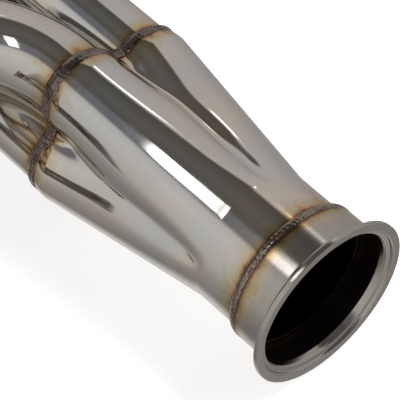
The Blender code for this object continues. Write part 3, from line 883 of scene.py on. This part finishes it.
def make_head_flange(material):
    """The plate with its edges broken, from a merged copy of the designed solid."""
    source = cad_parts["head_flange"]
    plate = bpy.data.objects.new("head_flange_plate", source.data.copy())
    bpy.context.scene.collection.objects.link(plate)
    make_active(plate)
    bpy.ops.object.mode_set(mode="EDIT")
    bpy.ops.mesh.select_all(action="SELECT")
    bpy.ops.mesh.remove_doubles(threshold=PLATE_MERGE)
    bpy.ops.mesh.dissolve_limited(angle_limit=math.radians(1))
    bpy.ops.object.mode_set(mode="OBJECT")
    edge = plate.modifiers.new("edge_break", "BEVEL")
    edge.width = PLATE_EDGE
    edge.segments = 3
    edge.limit_method = "ANGLE"
    edge.angle_limit = math.radians(50)
    apply_modifiers(plate)
    level = plate.modifiers.new("level", "WEIGHTED_NORMAL")
    level.keep_sharp = True
    smooth_by_angle(plate, 35)
    apply_modifiers(plate)
    finish_piece(plate, ["head_flange"], [material])


def dress_spike(material):
    """The plug deep in the collector keeps its designed shape and takes the near-black inner
    material, painted shade.
    """
    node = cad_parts["merge_spike"]
    node.data.materials.clear()
    node.data.materials.append(material)


# ------------------------------------------------------------------ studio

CAMERA_AZIMUTH = math.radians(47.9)
CAMERA_ELEVATION = math.radians(51.5)
CAMERA_LENS = 216.0
SENSOR_WIDTH = 36.0
NEAR_CLIP = 0.01
OUTLET_RIGHT = 58.6 * MM        # the outlet face's middle, right of and below the camera's axis
OUTLET_BELOW = 47.1 * MM
OUTLET_AWAY = 1086.0 * MM


def camera_axes():
    """Directions back to the camera, to its right and above it, and its place."""
    back = Vector((math.sin(CAMERA_AZIMUTH) * math.cos(CAMERA_ELEVATION),
                   -math.cos(CAMERA_AZIMUTH) * math.cos(CAMERA_ELEVATION),
                   math.sin(CAMERA_ELEVATION)))
    right = UP.cross(back).normalized()
    up = back.cross(right)
    place = on_axis(0.0) - right * OUTLET_RIGHT + up * OUTLET_BELOW + back * OUTLET_AWAY
    return back, right, up, place


def make_camera():
    back, right, up, place = camera_axes()
    data = bpy.data.cameras.new("camera")
    data.lens = CAMERA_LENS
    data.sensor_width = SENSOR_WIDTH
    data.clip_start = NEAR_CLIP
    camera = bpy.data.objects.new("camera", data)
    bpy.context.scene.collection.objects.link(camera)
    turned_to = Matrix((right, up, back)).transposed().to_4x4()
    camera.matrix_world = Matrix.Translation(place) @ turned_to
    bpy.context.scene.camera = camera


FLOOR_SIZE = 12.0
FLOOR_DROP = 0.2 * MM
FLOOR_GLOW = 0.68


def make_floor():
    """White paper, lit a little from below so that it stays white around the soft shadow."""
    deselect_all()
    bpy.ops.mesh.primitive_plane_add(size=FLOOR_SIZE, location=(0, 0, FLOOR_Z - FLOOR_DROP))
    floor = bpy.context.object
    floor.name = "studio_floor"
    material, _, shader = new_material("white_paper", 0.9, metallic=0.0)
    shader.inputs["Base Color"].default_value = linear("#f4f4f4")
    shader.inputs["Emission Color"].default_value = linear("#ffffff")
    shader.inputs["Emission Strength"].default_value = FLOOR_GLOW
    shader.inputs["Specular IOR Level"].default_value = 0.0
    floor.data.materials.append(material)
    floor.visible_glossy = False


KEY_SIZE = 1.1
KEY_POWER = 26
KEY_AWAY = 1.9
KEY_TOWARD = Vector((0.15, 0.75, 1.0)).normalized()


def key_light():
    """Soft overhead light from the far side, which sets the shadow on the floor."""
    data = bpy.data.lights.new("overhead_key", "AREA")
    data.shape = "SQUARE"
    data.size = KEY_SIZE
    data.energy = KEY_POWER
    light = bpy.data.objects.new("overhead_key", data)
    bpy.context.scene.collection.objects.link(light)
    light.location = on_axis(80 * MM) + KEY_TOWARD * KEY_AWAY
    light.rotation_euler = KEY_TOWARD.to_track_quat("Z", "Y").to_euler()
    light.visible_glossy = False


def softbox(name, back, reach, facing, slope, distance, size, strength):
    """A glowing sheet, seen only in reflections, hung where a polished point mirrors it.

    The point lies at a station and a reach from the collector axis. facing is the way it faces,
    from overhead towards the head flange, and slope is how far it leans downstream.
    """
    deselect_all()
    bpy.ops.mesh.primitive_plane_add(size=1)
    sheet = bpy.context.object
    sheet.name = name
    around = Vector((0, -math.sin(facing), math.cos(facing)))
    point = on_axis(back, around * reach)
    normal = around * math.cos(slope) + DOWNSTREAM * math.sin(slope)
    sight = (camera_axes()[-1] - point).normalized()
    toward = normal * 2 * normal.dot(sight) - sight
    across = (DOWNSTREAM - toward * DOWNSTREAM.dot(toward)).normalized()
    turned_to = Matrix((across, toward.cross(across), toward)).transposed()
    for vertex in sheet.data.vertices:
        flat = Vector((vertex.co.x * size[0], vertex.co.y * size[1], 0))
        vertex.co = point + toward * distance + turned_to @ flat
    material = bpy.data.materials.new(name + "_cloth")
    material.use_nodes = True
    tree = material.node_tree
    tree.nodes.clear()
    glow = add_node(tree, "ShaderNodeEmission", {"Color": linear("#ffffff"),
                    "Strength": strength})
    add_node(tree, "ShaderNodeOutputMaterial", {"Surface": glow.outputs[0]})
    sheet.data.materials.append(material)
    for ray in ("camera", "diffuse", "shadow", "transmission", "volume_scatter"):
        setattr(sheet, "visible_" + ray, False)


# The studio around the collector: pale walls with a dark gap overhead, as grey cloth seen at an
# angle from overhead, in degrees, positive towards the head flange.
STUDIO_WALLS = [(-180, "#e2e1e0"), (-150, "#a8a6a6"), (-120, "#a8a6a6"), (-70, "#c8c5c5"),
                (-31, "#cdcbc9"), (-27, "#5b5955"), (0, "#6e6c69"), (18, "#63625f"),
                (24, "#7f8088"), (37, "#7f8088"), (43, "#d8d8d8"), (56, "#e4e3e1"),
                (98, "#d2d1cd"), (125, "#adaaa6"), (155, "#93918f"), (180, "#e2e1e0")]


def make_world():
    """The walls, as a sky that turns about the collector's axis."""
    world = bpy.data.worlds.new("studio")
    bpy.context.scene.world = world
    world.use_nodes = True
    tree = world.node_tree
    direction = add_node(tree, "ShaderNodeTexCoord").outputs["Generated"]
    split = add_node(tree, "ShaderNodeSeparateXYZ", {0: direction})
    to_flange = add_node(tree, "ShaderNodeMath", {0: split.outputs[1], 1: -1.0},
                         operation="MULTIPLY")
    angle = add_node(tree, "ShaderNodeMath", {0: to_flange.outputs[0], 1: split.outputs[2]},
                     operation="ARCTAN2")
    share = add_node(tree, "ShaderNodeMapRange", {"Value": angle.outputs[0], "From Min": -math.pi,
                     "From Max": math.pi})
    walls = add_node(tree, "ShaderNodeValToRGB", {"Fac": share.outputs["Result"]})
    set_ramp(walls, [((place + 180) / 360, colour) for place, colour in STUDIO_WALLS])
    tree.links.new(walls.outputs["Color"], tree.nodes["Background"].inputs["Color"])


def make_studio():
    make_floor()
    make_world()
    cone_slope = math.atan((BUNDLE_RADIUS + LOBE_RADIUS - OUTLET_RADIUS)
                           / (COLLECTOR_MOUTH - SLEEVE_LENGTH - CONE_END))
    softbox("window_softbox", back=78 * MM, reach=40 * MM, facing=math.radians(27.3),
            slope=cone_slope, distance=0.35, size=(0.057, 0.12), strength=2.6)
    softbox("neck_softbox", back=12 * MM, reach=NECK_RADIUS, facing=math.radians(29.0),
            slope=0.0, distance=0.3, size=(0.026, 0.07), strength=3.2)
    softbox("far_neck_softbox", back=12 * MM, reach=NECK_RADIUS, facing=math.radians(-2.4),
            slope=0.0, distance=1.1, size=(0.055, 0.08), strength=2.4)
    key_light()
    bpy.context.scene.view_settings.view_transform = "Standard"


# ------------------------------------------------------------------ the object

BUTT_BEAD_COLOURS = [(0.3, "#2f2729"), (0.4, "#65565a"), (0.48, "#8a7870"), (0.56, "#4a4046"),
                     (0.64, "#93806f"), (0.75, "#3a3033")]
MOUTH_BEAD_COLOURS = [(0.3, "#352c2a"), (0.4, "#655954"), (0.47, "#968a82"), (0.53, "#544945"),
                      (0.6, "#857973"), (0.72, "#40352f")]
OUTLET_BEAD_COLOURS = [(0.28, "#4c4656"), (0.38, "#6d7a7c"), (0.45, "#8f937f"),
                       (0.51, "#a08468"), (0.57, "#7b5560"), (0.63, "#565670"),
                       (0.72, "#8b8a74")]


def main():
    polished = polished_stainless("buffed_304_tube")
    inner = inside_of_tube("dull_inner_wall_painted_shade")
    weld = tig_weld("tig_bead_dark", BUTT_BEAD_COLOURS)
    mouth_weld = tig_weld("tig_bead_smoky", MOUTH_BEAD_COLOURS, streak_rate=45.0)
    outlet_weld = tig_weld("tig_bead_iridescent", OUTLET_BEAD_COLOURS, roughness=0.18,
                           streak_rate=105.0)
    tubes = make_primaries(polished, inner, weld)
    make_port_welds(weld)
    shell = make_collector(polished, inner)
    make_mouth_weld(mouth_weld)
    make_outlet_weld(outlet_weld)
    vband = make_vband(turned_stainless("lathe_turned_flange"), inner)
    for piece in tubes + [shell, vband]:
        mark_weld_distance(piece)
    for piece in tubes + [shell]:
        smooth_by_angle(piece, 40)
    make_head_flange(milled_plate("fly_cut_plate"))
    dress_spike(inner)
    make_camera()
    make_studio()


main()
deselect_all()
